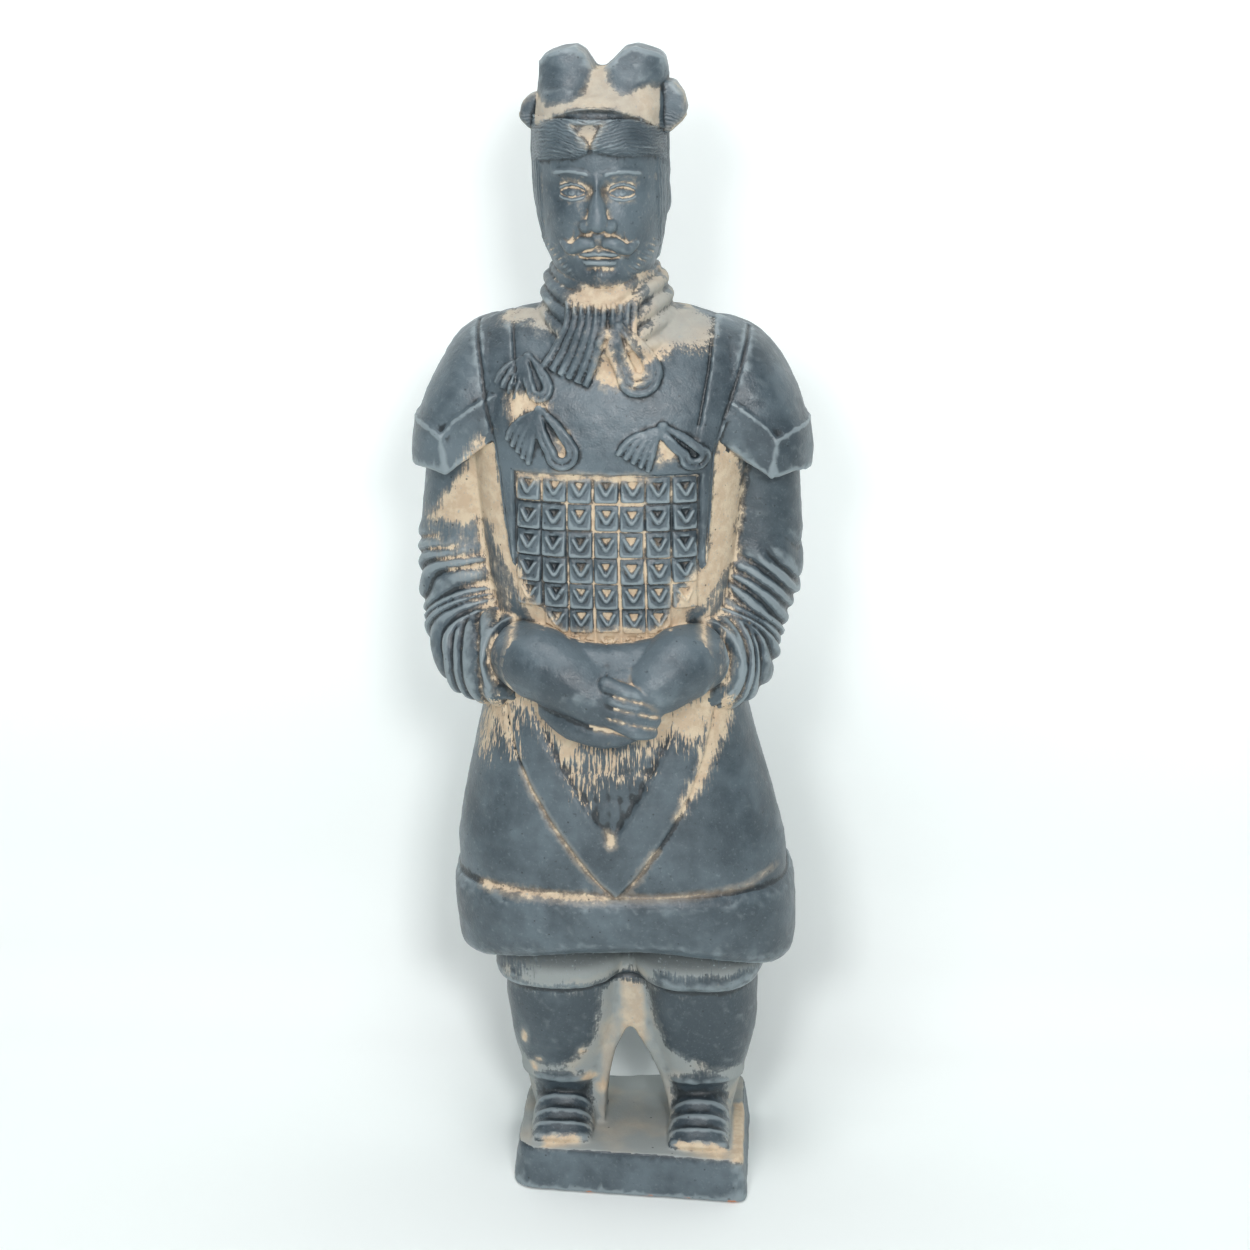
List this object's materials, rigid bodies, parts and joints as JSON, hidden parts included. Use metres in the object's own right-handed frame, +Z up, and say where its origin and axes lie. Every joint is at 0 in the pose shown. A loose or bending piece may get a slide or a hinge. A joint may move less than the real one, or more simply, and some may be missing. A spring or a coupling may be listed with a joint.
{
  "type": "terracotta warrior statue",
  "caption": "Standing armoured officer in fired clay on a low slab, two-lobed cap, hands folded before the belly, slate-coloured slip worn back to buff clay",
  "frame": {"origin": "middle of the slab's underside, on the surface that the statue stands on", "axes": "+Z up, -Y the way the figure faces, +X to the viewer's right when facing the figure"},
  "size_m": [0.0913, 0.0655, 0.27],
  "materials": {
    "slipped_terracotta": "matt slate-grey slip over buff fired clay, rubbed through on edges and in hollows"
  },
  "bodies": {
    "root": {"warrior_statue": "slipped_terracotta"}
  },
  "joints": []
}
